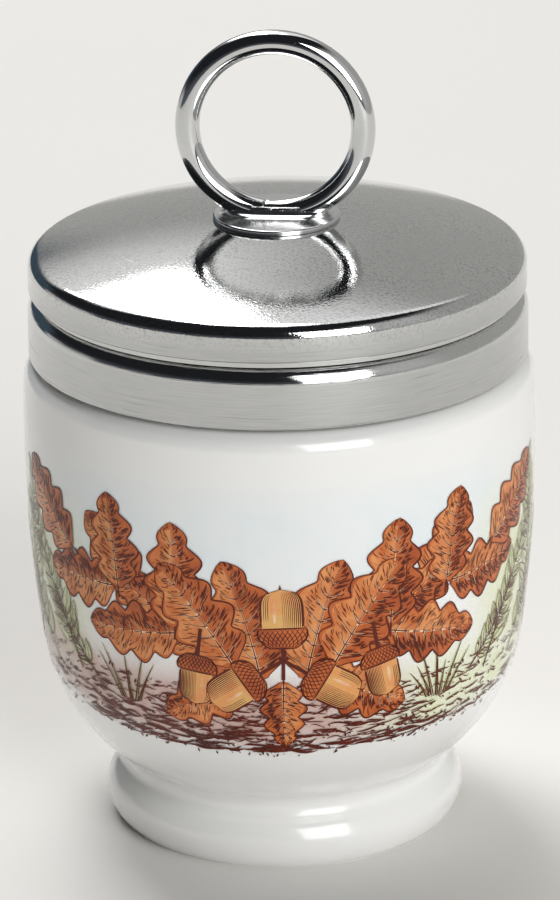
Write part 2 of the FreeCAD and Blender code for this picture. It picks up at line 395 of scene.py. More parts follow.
def make_porcelain():
    """White porcelain with soft tints in the print zone, and a faintly wavy glaze."""
    finish = bpy.context.scene.coddler_finish
    material, tree, shader = new_material("glazed porcelain")
    spot = add_node(tree, "ShaderNodeTexCoord").outputs["Object"]
    uneven = ramp(tree, noise(tree, spot, 240.0, 3.0), 0.35, 0.6, 0.6)
    tint = tuple(finish.glaze)
    for name, wash in (("blue_wash", finish.blue_wash), ("green_wash", finish.green_wash),
                       ("ground_wash", finish.ground_wash)):
        amount = add_node(tree, "ShaderNodeAttribute", attribute_name=name).outputs["Fac"]
        tint = mix_colours(tree, calculate(tree, "MULTIPLY", amount, uneven), tint, tuple(wash))
    tree.links.new(tint, shader.inputs["Base Color"])
    wave = noise(tree, spot, 95.0, 1.0)
    bump = add_node(tree, "ShaderNodeBump", {"Height": wave, "Strength": 0.12, "Distance": 0.0004})
    tree.links.new(bump.outputs[0], shader.inputs["Normal"])
    set_glaze(shader)
    shader.inputs["Subsurface Weight"].default_value = 0.08
    shader.inputs["Subsurface Radius"].default_value = (0.0015, 0.0013, 0.0011)
    shader.inputs["Subsurface Scale"].default_value = 1.0
    return material


SATIN_ROUGHNESS = 0.19
BUMP_DEPTH = 0.02 * MM


def make_bright_metal(name, tint, polish, grain, peel, pitting, turning):
    """Bright metal: polished, or satin where its mesh says so, with specks, scratches and worn patches."""
    material, tree, shader = new_material(name)
    pits = place_group(tree, "Pitting", Grain=grain, Peel=peel)
    marks = place_group(tree, "Turning marks")
    satin = add_node(tree, "ShaderNodeAttribute", attribute_name="satin").outputs["Fac"]
    shader.inputs["Metallic"].default_value = 1.0
    roughness = ramp(tree, satin, 0.0, 1.0, polish, SATIN_ROUGHNESS)
    roughness = calculate(tree, "MULTIPLY_ADD", pits["Wear"], polish * 0.6, roughness)
    roughness = calculate(tree, "MULTIPLY_ADD", marks["Scratches"], 0.08, roughness)
    tree.links.new(roughness, shader.inputs["Roughness"])
    specks = calculate(tree, "MULTIPLY", pits["Specks"], calculate(tree, "SUBTRACT", 1.0, satin))
    lines = calculate(tree, "MULTIPLY", marks["Height"], satin)
    scratches = calculate(tree, "MULTIPLY", marks["Scratches"], satin)
    seen = tuple(tint)
    # How bright the metal is left by specks, wear, turning lines and scratches
    for amount, share in ((specks, 1 - 0.7 * pitting), (pits["Wear"], 0.9), (lines, 0.6), (scratches, 0.66)):
        seen = mix_colours(tree, amount, seen, tuple(value * share for value in tint))
    tree.links.new(seen, shader.inputs["Base Color"])
    fine = add_node(tree, "ShaderNodeBump", {"Height": pits["Height"], "Strength": pitting,
                                             "Distance": BUMP_DEPTH})
    rings = add_node(tree, "ShaderNodeBump", {"Height": marks["Height"], "Strength": turning,
                                              "Distance": BUMP_DEPTH, "Normal": fine.outputs[0]})
    tree.links.new(rings.outputs[0], shader.inputs["Normal"])
    return material


def mark_satin(mesh, low, high):
    """Writes where turned metal is satin: full below the first height, none above the second."""
    layer = mesh.verts.layers.float.new("satin")
    for vert in mesh.verts:
        vert[layer] = 1 - smooth_step(vert.co.z, low, high)


def make_ink(name, tint, second):
    """A printed film under the glaze, mottled between two tones."""
    material, tree, shader = new_material(name)
    uneven = place_group(tree, "Uneven ink")
    toned = mix_colours(tree, uneven["Tone"], tuple(tint), tuple(second))
    tree.links.new(toned, shader.inputs["Base Color"])
    set_glaze(shader)
    shader.inputs["Specular IOR Level"].default_value = 0.15
    shader.inputs["Coat Weight"].default_value = 0.4
    return material


def make_rubber():
    """Pale matt rubber with a dusty bloom."""
    finish = bpy.context.scene.coddler_finish
    material, tree, shader = new_material("pale rubber")
    spot = add_node(tree, "ShaderNodeTexCoord").outputs["Object"]
    bloom = noise(tree, spot, 700.0, 4.0)
    tint = tuple(finish.seal)
    dusty = tuple(min(1, value * 1.25) for value in tint)
    tree.links.new(mix_colours(tree, bloom, tint, dusty), shader.inputs["Base Color"])
    bump = add_node(tree, "ShaderNodeBump", {"Height": bloom, "Strength": 0.3, "Distance": 0.0001})
    tree.links.new(bump.outputs[0], shader.inputs["Normal"])
    shader.inputs["Roughness"].default_value = 0.75
    return material


def bowl_outline():
    """The cup's outside from the foot's edge to the ledge under the lid, as (radius, height) points."""
    cup = bpy.context.scene.coddler_cup
    foot_edge = (cup.foot_radius - cup.foot_tuck, 0)
    foot_widest = (cup.foot_radius, cup.foot_widest_height)
    lower_arc = (cup.foot_tuck ** 2 + cup.foot_widest_height ** 2) / (2 * cup.foot_tuck)
    lower_centre = (cup.foot_radius - lower_arc, cup.foot_widest_height)
    waist_centre = (cup.foot_radius - cup.waist_inset + cup.waist_hollow, cup.waist_height)
    out = cup.foot_radius - waist_centre[0]
    up = cup.foot_widest_height - cup.waist_height
    upper_arc = (out ** 2 + up ** 2 - cup.waist_hollow ** 2) / (2 * (cup.waist_hollow + out))
    upper_centre = (cup.foot_radius - upper_arc, cup.foot_widest_height)
    foot_to_waist = toward(upper_centre, waist_centre, upper_arc)
    side_centre = (cup.belly_radius - cup.side_arc, cup.belly_height)
    bowl_centre = circles_meet(side_centre, cup.side_arc - cup.bowl_arc,
                               waist_centre, cup.bowl_arc + cup.waist_hollow)
    waist_to_bowl = toward(waist_centre, bowl_centre, cup.waist_hollow)
    bowl_to_side = toward(side_centre, bowl_centre, cup.side_arc)
    shoulder_z = cup.shoulder_height - cup.shoulder_round
    reach = math.sqrt((cup.side_arc - cup.shoulder_round) ** 2 - (shoulder_z - cup.belly_height) ** 2)
    shoulder_centre = (side_centre[0] + reach, shoulder_z)
    side_to_shoulder = toward(side_centre, shoulder_centre, cup.side_arc)
    points = [foot_edge]
    points += arc(lower_centre, foot_edge, foot_widest, 10)
    points += arc(upper_centre, foot_widest, foot_to_waist, 10)
    points += arc(waist_centre, foot_to_waist, waist_to_bowl, 14)
    points += arc(bowl_centre, waist_to_bowl, bowl_to_side, 26)
    points += arc(side_centre, bowl_to_side, side_to_shoulder, 34)
    points += arc(shoulder_centre, side_to_shoulder, (shoulder_centre[0], cup.shoulder_height), 12)
    return points


def thread_ridge(angle, height, pitch, phase, half_width):
    """Height, 0 to 1, of a right-handed thread's rounded ridge at a place on a cylinder."""
    turns = height / pitch - angle / (2 * math.pi) - phase
    off = abs(turns - round(turns)) * pitch
    return 0.5 * (1 + math.cos(math.pi * off / half_width)) if off < half_width else 0


def raise_thread(mesh, wall, fade_in, fade_out, phase, half_width, height):
    """Raises a thread on a turned wall: outwards, or inwards where its height is negative.

    It grows and fades away over the two ranges of height above the foot.
    """
    cup = bpy.context.scene.coddler_cup
    pitch = bpy.context.scene.coddler_lid.thread_pitch
    root = cup.shoulder_height + cup.root_round
    for vert in mesh.verts:
        radius = math.hypot(vert.co.x, vert.co.y)
        if abs(radius - wall) < 1e-6:
            angle = math.atan2(vert.co.y, vert.co.x)
            fade = smooth_step(vert.co.z, *fade_in) * (1 - smooth_step(vert.co.z, *fade_out))
            ridge = thread_ridge(angle, vert.co.z - root, pitch, phase, half_width)
            scale = 1 + height * ridge * fade / radius
            vert.co.x *= scale
            vert.co.y *= scale


class CODDLER_OT_cup(bpy.types.Operator):
    """Make the porcelain cup, with its foot, bowl and threaded neck"""
    bl_idname = "coddler.cup"
    bl_label = "Cup"

    def execute(self, context):
        cup = context.scene.coddler_cup
        lid = context.scene.coddler_lid
        neck_radius = cup.belly_radius - cup.neck_inset
        bore = neck_radius - cup.neck_wall
        chamber = cup.belly_radius - cup.wall
        rim = cup_high.z
        foot_inner = cup.foot_radius - cup.foot_tuck - cup.foot_ring_width
        draw_in = cup.shoulder_height - cup.inner_drop - (chamber - bore)
        floor = cup.foot_recess + cup.floor
        recess_round = 1.2 * MM
        standing_round = 0.5 * MM
        inside_round = 3 * MM
        outside = bowl_outline()
        outline = rounded([(0, cup.foot_recess), (foot_inner, cup.foot_recess, recess_round),
                           (foot_inner, 0, standing_round), outside[0]])[:-1]
        outline += outside
        neck = rounded([outside[-1], (neck_radius, cup.shoulder_height, cup.root_round), (neck_radius, rim)])
        outline += neck[1:-1]
        outline += straight(neck[-2], (neck_radius, rim - cup.rim_round), 84)
        outline += rounded([(neck_radius, rim - cup.rim_round), (neck_radius, rim, cup.rim_round * 0.99),
                            (bore, rim, cup.rim_round),
                            (bore, cup.shoulder_height, inside_round), (chamber, draw_in, inside_round),
                            (chamber, floor, cup.inner_round), (0, floor)], 14)[2:]
        mesh = turned(outline, False)
        root = cup.shoulder_height + cup.root_round
        raise_thread(mesh, neck_radius, (root, root + 1.4 * MM), (rim - 2.4 * MM, rim - cup.rim_round),
                     phase=0.5, half_width=1.1 * MM, height=lid.neck_thread)
        add_washes(mesh, cup)
        make_piece(mesh, "porcelain_cup", "cup", make_porcelain(), ["cup"], math.radians(40))
        return {"FINISHED"}


FRONT_ANGLE = math.radians(-84)
# How the drawn ground rises towards its sides, by the square of the distance in millimetres
GROUND_CURVE = 0.0016


def print_place(co, belly_radius):
    """A point of the bowl on the flat print: distance round from the front, and height, in millimetres."""
    angle = math.remainder(math.atan2(co.y, co.x) - FRONT_ANGLE, 2 * math.pi)
    return angle * belly_radius / MM, co.z / MM


def add_washes(mesh, cup):
    """Writes how strongly each soft tint covers each point of the bowl's outside."""
    layers = {name: mesh.verts.layers.float.new(name) for name in ("blue_wash", "green_wash", "ground_wash")}
    half_round = math.pi * cup.belly_radius / MM
    # Below, x, y and side are millimetres on the flat print; side is the distance from a picture's middle
    for vert in mesh.verts:
        radius = math.hypot(vert.co.x, vert.co.y)
        if not cup.waist_height < vert.co.z < cup.shoulder_height:
            continue
        if radius < cup.foot_radius - cup.waist_inset:
            continue
        if radius < cup.belly_radius - cup.wall * 1.02 and vert.co.z > 20 * MM:
            continue
        x, y = print_place(vert.co, cup.belly_radius)
        x -= half_round * 2 * round(x / (half_round * 2))
        if abs(x) > half_round / 2:
            x = math.copysign(half_round, x) - x
        side = abs(x)
        sky = smooth_step(y, 33, 40) * (1 - smooth_step(y, 44, 50))
        vert[layers["blue_wash"]] = 0.34 * sky * (1 - smooth_step(side, 22, 36))
        plants = smooth_step(side, 21, 31) * smooth_step(y, 20, 25) * (1 - smooth_step(y, 38, 46))
        low = 17.0 + GROUND_CURVE * x * x
        ground = smooth_step(y, low - 0.8, low + 2) * (1 - smooth_step(y, low + 6, low + 11))
        mauve = 1 - smooth_step(x, 2, 20)
        vert[layers["green_wash"]] = max(0.95 * plants, 0.95 * ground * (1 - mauve))
        vert[layers["ground_wash"]] = 0.8 * ground * mauve * (1 - smooth_step(side, 36, 43))


def beside(here, behind, ahead, off):
    """The point so far to the left of a path, which comes from behind and goes ahead."""
    run_x = ahead[0] - behind[0]
    run_y = ahead[1] - behind[1]
    run = math.hypot(run_x, run_y) or 1
    return (here[0] - run_y / run * off, here[1] + run_x / run * off)


class Print:
    """Thin films of ink, drawn flat in millimetres from front to back, and wrapped round the bowl.

    A part that is drawn later lies behind the earlier ones: its strokes stop at their edges.
    """

    stroke_lift = 0.10 * MM
    below_strokes = 0.008 * MM
    part_step = 0.0029 * MM

    def __init__(self, cup, inks):
        self.films = {name: bmesh.new() for name in inks}
        outline = [point for point in bowl_outline() if point[1] > cup.waist_height]
        self.radii = [point[0] for point in outline]
        self.heights = [point[1] for point in outline]
        self.belly_radius = cup.belly_radius
        self.start(0)

    def start(self, centre):
        """Begins a new picture, centred so many millimetres round from the front."""
        self.centre = centre
        self.lift = self.stroke_lift - self.below_strokes
        self.covers = []

    def wrap(self, x, y, lift):
        """The place on the bowl of a point of the flat print."""
        height = y * MM
        above = min(max(1, bisect.bisect(self.heights, height)), len(self.heights) - 1)
        rise = self.heights[above] - self.heights[above - 1]
        growth = self.radii[above] - self.radii[above - 1]
        run = math.hypot(rise, growth)
        part_way = (height - self.heights[above - 1]) / rise
        radius = self.radii[above - 1] + growth * part_way + lift * rise / run
        angle = FRONT_ANGLE + (x + self.centre) * MM / self.belly_radius
        return Vector((radius * math.cos(angle), radius * math.sin(angle), height - lift * growth / run))

    def hidden(self, x, y):
        """Whether a point lies behind a part that is drawn already."""
        for left, right, low, high, outline in self.covers:
            if left < x < right and low < y < high:
                inside = False
                for (x0, y0), (x1, y1) in zip(outline, outline[1:] + outline[:1]):
                    if (y0 > y) != (y1 > y) and x < x0 + (x1 - x0) * (y - y0) / (y1 - y0):
                        inside = not inside
                if inside:
                    return True
        return False

    def add(self, part, ink, lift):
        """Wraps a flat bmesh and adds it to an ink's film."""
        for vert in part.verts:
            vert.co = self.wrap(vert.co.x, vert.co.y, lift)
        data = finished_mesh(part, "patch")
        self.films[ink].from_mesh(data)
        bpy.data.meshes.remove(data)

    def patch(self, ink, place, along, across, rise=0.0):
        """A filled shape: place turns s, 0 to 1 along it, and t, -1 to 1 across it, into a point."""
        part = bmesh.new()
        bmesh.ops.create_grid(part, x_segments=along, y_segments=across, size=1)
        for vert in part.verts:
            vert.co = (*place((vert.co.x + 1) / 2, vert.co.y), 0)
        self.add(part, ink, self.lift + rise * MM)

    def strokes(self, ink, lines, steps):
        """Many pen strokes at once: each line is (path, width), both functions of s from 0 to 1."""
        part = bmesh.new()
        rows = 2 * len(lines) - 1
        bmesh.ops.create_grid(part, x_segments=steps, y_segments=rows, size=1)
        between = [face for face in part.faces if int((face.calc_center_median().y + 1) / 2 * rows) % 2 == 1]
        bmesh.ops.delete(part, geom=between, context="FACES")
        for vert in part.verts:
            s = (vert.co.x + 1) / 2
            row = round((vert.co.y + 1) / 2 * rows)
            path, width = lines[row // 2]
            side = width(s) / 2 * (1 if row % 2 else -1)
            vert.co = (*beside(path(s), path(max(0, s - 0.02)), path(min(1, s + 0.02)), side), 0)
        covered = [face for face in part.faces if self.hidden(*face.calc_center_median()[:2])]
        bmesh.ops.delete(part, geom=covered, context="FACES")
        self.add(part, ink, self.stroke_lift - (0 if ink == "dark" else self.below_strokes / 2))

    def cover(self, *places):
        """Lets finished shapes hide what is drawn after them, and moves the next part behind them."""
        for place in places:
            outline = [place(step / 40, -1) for step in range(41)]
            outline += [place(1 - step / 40, 1) for step in range(41)]
            across = [point[0] for point in outline]
            up = [point[1] for point in outline]
            self.covers.append((min(across), max(across), min(up), max(up), outline))
        self.lift -= self.part_step


def tapered(width):
    """A pen stroke's width: full in the middle and fine at its ends."""
    return lambda s: width * (0.25 + 0.75 * math.sin(math.pi * min(1, max(0, s))) ** 0.6)


def fading(width):
    """A pen stroke's width: full at the start and fine at the end."""
    return lambda s: width * (1 - 0.85 * s)


def bent_axis(base, direction, reach, bend):
    """A curve from a base: direction in degrees, length, and sideways bend as a share of the length."""
    angle = math.radians(direction)
    ahead = (math.cos(angle), math.sin(angle))
    side = (-ahead[1], ahead[0])

    def axis(s):
        off = bend * reach * s * s
        return (base[0] + ahead[0] * reach * s + side[0] * off,
                base[1] + ahead[1] * reach * s + side[1] * off)
    return axis


def blade(axis, half_width):
    """Turns a curve and its half width into a place function for a patch."""
    def place(s, t):
        return beside(axis(s), axis(s - 0.01), axis(s + 0.01), t * half_width(s))
    return place


def draw_oak_leaf(page, chance, base, direction, reach, width, bend):
    """An oak leaf: mottled fill, a lighter half, pale veins, engraved hatching and an outline."""
    axis = bent_axis(base, direction, reach, bend)
    lobes = 4

    def half_width(s):
        s = min(1, max(0, s))
        body = math.sin(math.pi * s ** 0.8) ** 0.62 if 0 < s < 1 else 0
        lobe = 0.5 + 0.5 * math.cos(2 * math.pi * (lobes * s - 0.66))
        return width / 2 * body * (0.64 + 0.36 * lobe ** 0.6)

    place = blade(axis, half_width)
    page.patch("russet", place, 46, 12)
    page.patch("amber", lambda s, t: place(0.05 + 0.88 * s, 0.46 + 0.42 * t), 40, 6, 0.002)
    veins = [(lambda s: axis(0.04 + 0.92 * s), fading(0.34))]
    ribs = [(lambda s: axis(-0.1 + 1.06 * s), fading(0.2))]
    for side in (-1, 1):
        for vein in range(2 * lobes):
            start = 0.09 + 0.80 * vein / (2 * lobes)
            tip = side * (0.9 if vein % 2 == 0 else 0.55)

            def path(s, start=start, tip=tip):
                return place(min(0.99, start + 0.13 * s ** 1.3), tip * s)
            veins.append((lambda s, path=path: path(0.1 + 0.8 * s), fading(0.24)))
            ribs.append((path, fading(0.13)))
    page.strokes("cream", veins, 8)
    page.strokes("dark", ribs, 8)
    edges = [(lambda s: place(s, -1), tapered(0.2)), (lambda s: place(s, 1), tapered(0.15))]
    page.strokes("dark", edges, 50)
    hatching = []
    for side, count, weight in ((-1, 104, 0.15), (1, 58, 0.10)):
        for hatch in range(count):
            start = 0.04 + 0.92 * (hatch + chance.random() * 0.8) / count
            near = chance.uniform(0.06, 0.6)
            far = min(0.97, near + chance.uniform(0.12, 0.4))

            def path(s, start=start, near=side * near, far=side * far):
                across = near + (far - near) * s
                return place(min(0.985, start + 0.13 * abs(across) ** 1.3), across)
            hatching.append((path, tapered(weight * chance.uniform(0.5, 1.2))))
    page.strokes("dark", hatching, 4)
    page.cover(place)


def draw_acorn(page, base, direction, reach):
    """An acorn: smooth nut with curved shading, and a scaly cup on a short stalk."""
    axis = bent_axis(base, direction, reach, 0.03)

    def nut_width(s):
        s = min(1, max(0, s))
        return reach * 0.27 * math.sqrt(max(0, 1 - (1.7 * s - 0.7) ** 4)) if s > 0 else reach * 0.23

    def hat_width(s):
        return reach * 0.32 * math.sin(math.pi * (0.12 + 0.5 * min(1, max(0, s)))) ** 0.7

    nut = blade(lambda s: axis(0.34 + 0.62 * s), nut_width)
    hat = blade(lambda s: axis(0.14 + 0.28 * s), hat_width)
    page.patch("russet", hat, 12, 12, 0.002)
    lines = [(lambda s: axis(-0.3 + 0.46 * s), lambda s: 0.42),
             (lambda s: axis(0.96 + 0.06 * s), fading(0.3))]
    lines += [(lambda s, t=t: hat(s, t), tapered(0.2)) for t in (-1, 1)]
    lines += [(lambda s, end=end: hat(end, 2 * s - 1), tapered(0.2)) for end in (0.02, 1.0)]
    for scale in range(13):
        t = -1.2 + 0.2 * scale
        for lean in (-0.3, 0.3):
            def across_scales(s, t=t, lean=lean):
                return hat(s, max(-1, min(1, t + lean * (2 * s - 1))))
            lines.append((across_scales, tapered(0.11)))
    page.strokes("dark", lines, 10)
    page.cover(hat)
    # The nut shares the hat's layer, where the hat's own rise keeps it in front
    page.lift += page.part_step
    page.patch("ochre", nut, 18, 12)
    lines = [(lambda s, t=t: nut(s, t), tapered(0.2)) for t in (-1, 1)]
    lines += [(lambda s, t=-0.95 + 0.09 * curve: nut(0.1 + 0.84 * s, t), tapered(0.15 - 0.011 * curve))
              for curve in range(11)]
    lines += [(lambda s, t=0.95 - 0.1 * curve: nut(0.3 + 0.6 * s, t), tapered(0.08)) for curve in range(4)]
    page.strokes("dark", lines, 12)
    page.strokes("cream", [(lambda s: nut(0.25 + 0.5 * s, 0.35), tapered(0.4))], 6)
    page.cover(nut)


def draw_spray(page, chance, base, direction, reach, bend, pairs):
    """A spray of small pointed leaves in pairs along a fine stem, shorter towards its tip."""
    axis = bent_axis(base, direction, reach, bend)
    lines = [(axis, fading(0.24))]
    for pair in range(pairs):
        s = 0.16 + 0.82 * pair / pairs
        here = axis(s)
        ahead = axis(s + 0.02)
        run = math.degrees(math.atan2(ahead[1] - here[1], ahead[0] - here[0]))
        for side in (-1, 1):
            size = (0.11 + 0.13 * (1 - s)) * reach * chance.uniform(0.8, 1.15)
            leaf_axis = bent_axis(here, run + side * chance.uniform(34, 66), size, -side * 0.2)

            def leaf_width(u, size=size):
                return size * 0.2 * math.sin(math.pi * min(1, max(0, u)) ** 0.8) ** 0.9
            leaf = blade(leaf_axis, leaf_width)
            page.patch("green", leaf, 8, 2)
            lines.append((leaf_axis, fading(0.12)))
            lines.append((lambda u, leaf=leaf: leaf(u, -1), tapered(0.14)))
            lines.append((lambda u, leaf=leaf: leaf(u, 1), tapered(0.08)))
    page.strokes("dark", lines, 7)


def draw_grass(page, chance, x, y, count, spread, tall):
    """A tuft of curved blades."""
    lines = []
    for stem in range(count):
        lean = chance.uniform(-spread, spread)
        axis = bent_axis((x + lean * 0.05, y), 90 - lean, tall * chance.uniform(0.45, 1), -lean / 260)
        page.patch("green", blade(axis, lambda s: 0.3 * (1 - s) ** 0.7), 10, 1)
        lines.append((axis, fading(0.2)))
        lines.append((lambda s, axis=axis: (axis(s)[0] + 0.3 * (1 - s), axis(s)[1]), fading(0.12)))
    page.strokes("dark", lines, 10)


def draw_ground(page, chance, half_span, low, deep):
    """Wavy level strokes, dense at the middle, and shorter and finer towards the top of the ground."""
    lines = []
    for stroke in range(760):
        x = chance.triangular(-half_span, half_span, -6)
        share = chance.random() ** 1.1
        y = low + GROUND_CURVE * x * x + deep * share * (1 - 0.35 * (x / half_span) ** 2)
        reach = chance.uniform(0.9, 4.2) * (1 - 0.5 * share)
        swing = chance.uniform(-0.28, 0.28)
        slope = 0.0032 * x
        weight = chance.uniform(0.10, 0.30) * (1.1 - 0.5 * share)

        def path(s, x=x, y=y, reach=reach, swing=swing, slope=slope):
            return (x + reach * (s - 0.5), y + swing * math.sin(4 * s + x) + slope * reach * s)
        lines.append((path, tapered(weight)))
    page.strokes("dark", lines, 5)


def draw_dots(page, chance, half_span, low, deep, count):
    """Stipple: short dabs of the pen."""
    lines = []
    for dot in range(count):
        x = chance.uniform(-half_span, half_span)
        y = low(x) + chance.triangular(0, deep, 0)
        turn = chance.uniform(0, math.pi)
        size = chance.uniform(0.2, 0.62)

        def path(s, x=x, y=y, turn=turn, size=size):
            return (x + size * (s - 0.5) * math.cos(turn), y + size * (s - 0.5) * math.sin(turn))
        lines.append((path, tapered(size * 0.5)))
    page.strokes("dark", lines, 2)


def draw_sprig(page, chance, way):
    """One half of the swag: a stem that rises to one side, with leaves along it and at its tip."""

    def stem(s):
        return (way * (1.5 + 25.5 * s), 25.5 + 12.5 * s ** 1.25 + 1.6 * math.sin(math.pi * s))

    def lean(direction):
        return direction if way > 0 else 180 - direction

    for s, direction, reach, width in ((0.16, 60, 14.0, 8.2), (0.10, -32, 11.5, 7.0), (0.98, 32, 12.5, 7.4),
                                       (0.42, 92, 12.5, 7.6), (0.40, -14, 12.5, 7.4), (0.70, 84, 11.0, 6.8),
                                       (0.72, -4, 11.5, 7.0), (0.28, 40, 13.5, 7.8), (0.56, 58, 12.5, 7.4),
                                       (0.04, 79, 14.5, 8.4)):
        bend = way * (0.1 if direction < 40 else -0.1) * chance.uniform(0.6, 1.3)
        draw_oak_leaf(page, chance, stem(s), lean(direction + chance.uniform(-4, 4)), reach, width, bend)
    underside = (lambda s: (stem(s)[0], stem(s)[1] - 0.45), fading(0.3))
    page.strokes("dark", [(stem, fading(0.75)), underside], 30)


def draw_picture(page, seed):
    """The whole design: a swag of oak leaves with acorns over low ground, and sprays at its sides."""
    chance = random.Random(seed)
    for base, direction, reach in (((0, 28.6), 90, 8.6), ((-1.6, 27.4), 212, 8.4), ((1.6, 27.4), 328, 8.4),
                                   ((-9.5, 29.6), 262, 7.4), ((10.5, 30.0), 282, 7.4)):
        draw_acorn(page, base, direction, reach)
    draw_oak_leaf(page, chance, (0, 25.8), 268, 8.2, 5.4, 0.06)
    for way in (-1, 1):
        draw_sprig(page, chance, way)
    for way in (-1, 1):
        for x, y, direction, reach, bend, pairs in ((27, 23, 68, 20, -0.2, 11), (33, 22, 56, 19, -0.2, 10),
                                                    (38, 22, 88, 23, 0.12, 11), (24, 22.5, 40, 12, 0.1, 7)):
            direction = direction if way > 0 else 180 - direction
            base = (way * x, y + chance.uniform(-0.8, 0.8))
            draw_spray(page, chance, base, direction, reach, bend * way, pairs)
        draw_grass(page, chance, way * 19, 21.5, 8, 36, 8)
        draw_grass(page, chance, way * 43, 21.5, 7, 30, 12)
    draw_ground(page, chance, 41, 16.8, 8.0)
    draw_dots(page, chance, 44, lambda x: 16.2 + GROUND_CURVE * x * x, 10, 520)


class CODDLER_OT_print(bpy.types.Operator):
    """Print the bowl with oak sprigs, acorns and leafy sprays in russet, ochre and green"""
    bl_idname = "coddler.print"
    bl_label = "Print"

    def execute(self, context):
        cup = context.scene.coddler_cup
        finish = context.scene.coddler_finish
        deep_russet = shade(168, 78, 36)
        deep_brown = shade(78, 24, 12)
        inks = {
            "green": (finish.green_ink, finish.green_wash),
            "russet": (finish.russet_ink, deep_russet),
            "amber": (finish.amber_ink, finish.russet_ink),
            "ochre": (finish.ochre_ink, finish.amber_ink),
            "cream": (finish.cream_ink, finish.amber_ink),
            "dark": (finish.dark_ink, deep_brown),
        }
        page = Print(cup, inks)
        half_round = math.pi * cup.belly_radius / MM
        for seed, centre in ((5, 0), (11, half_round)):
            page.start(centre)
            draw_picture(page, seed)
        for name, (tint, second) in inks.items():
            ink = make_ink(name + " ink", tint, second)
            make_piece(page.films[name], "print_" + name, "cup", ink)
        return {"FINISHED"}


class CODDLER_OT_collar(bpy.types.Operator):
    """Make the screw collar, smooth outside and threaded inside"""
    bl_idname = "coddler.collar"
    bl_label = "Screw collar"

    def execute(self, context):
        cup = context.scene.coddler_cup
        lid = context.scene.coddler_lid
        finish = context.scene.coddler_finish
        bore = cup.belly_radius - cup.neck_inset + lid.thread_clearance
        outer = collar_high.x
        bottom = collar_low.z
        top = collar_high.z
        mouth = 0.7 * MM
        clearance = 0.1 * MM
        groove = 0.4 * MM
        spigot_round = 0.3 * MM
        spigot = cap_high.x - lid.sheet - clearance
        band_top = cap_low.z - groove
        shoulder_centre = (outer - lid.shoulder_round, band_top - lid.shoulder_round)
        band_end = (outer, shoulder_centre[1])
        rise = math.sqrt(lid.shoulder_round ** 2 - (spigot - shoulder_centre[0]) ** 2)
        spigot_foot = (spigot, shoulder_centre[1] + rise)
        outline = rounded([(bore, bottom + mouth), (bore + mouth, bottom, 0),
                           (outer, bottom, lid.collar_lip), band_end])
        outline += arc(shoulder_centre, band_end, spigot_foot, 18)
        outline += rounded([spigot_foot, (spigot, top, spigot_round), (bore, top)])[1:]
        outline += straight((bore, top), (bore, bottom + mouth), 90)[:-1]
        mesh = turned(outline, True)
        raise_thread(mesh, bore, (bottom + mouth, bottom + 2.0 * MM), (top - 1.8 * MM, top - 0.2 * MM),
                     phase=0.0, half_width=0.8 * MM, height=-lid.collar_thread)
        metal = make_bright_metal("band metal", finish.lid_metal, polish=0.06, grain=4200.0, peel=300.0,
                                  pitting=0.12, turning=0.5)
        mark_satin(mesh, band_end[1] - 0.2 * MM, band_end[1] + 0.3 * MM)
        make_piece(mesh, "collar_band", "lid", metal, ["screw_collar"])
        return {"FINISHED"}


class CODDLER_OT_cap(bpy.types.Operator):
    """Make the domed cap with its short skirt"""
    bl_idname = "coddler.cap"
    bl_label = "Domed cap"

    def execute(self, context):
        lid = context.scene.coddler_lid
        finish = context.scene.coddler_finish
        outer = cap_high.x
        bottom = cap_low.z
        seat_radius = boss_high.x + 0.2 * MM
        seat_height = cap_high.z
        hole = lid.shank_radius + 0.1 * MM
        dome_centre = (0, seat_height - math.sqrt(lid.dome_radius ** 2 - seat_radius ** 2))
        corner_x = outer - lid.corner_round
        corner_z = dome_centre[1] + math.sqrt((lid.dome_radius - lid.corner_round) ** 2 - corner_x ** 2)
        corner_centre = (corner_x, corner_z)
        inner_dome = lid.dome_radius - lid.sheet
        outer_corner = toward(dome_centre, corner_centre, lid.dome_radius)
        inner_corner = toward(dome_centre, corner_centre, inner_dome)
        under = seat_height - lid.sheet
        inner_seat = math.sqrt(inner_dome ** 2 - (under - dome_centre[1]) ** 2)
        skirt = rounded([(outer, corner_z), (outer, bottom, lid.skirt_lip),
                         (outer - lid.sheet, bottom, lid.skirt_lip), (outer - lid.sheet, corner_z)], 8)
        outline = [(hole, seat_height), (seat_radius, seat_height)]
        outline += arc(dome_centre, (seat_radius, seat_height), outer_corner, 48)
        outline += arc(corner_centre, outer_corner, (outer, corner_z), 16)
        outline += skirt[1:]
        outline += arc(corner_centre, (outer - lid.sheet, corner_z), inner_corner, 6)
        outline += arc(dome_centre, inner_corner, (inner_seat, under), 24)
        outline.append((hole, under))
        metal = make_bright_metal("dome metal", finish.lid_metal, polish=0.05, grain=3400.0, peel=300.0,
                                  pitting=0.5, turning=0.06)
        mesh = turned(outline, True)
        mark_satin(mesh, corner_z - 0.3 * MM, corner_z + 0.1 * MM)
        make_piece(mesh, "domed_cap", "lid", metal, ["lid_cap"])
        return {"FINISHED"}


def ring_distance(co, centre_z, radius, wire):
    """Distance of a point from the surface of the finger ring, negative inside its wire."""
    return math.hypot(math.hypot(co.x, co.z - centre_z) - radius, co.y) - wire


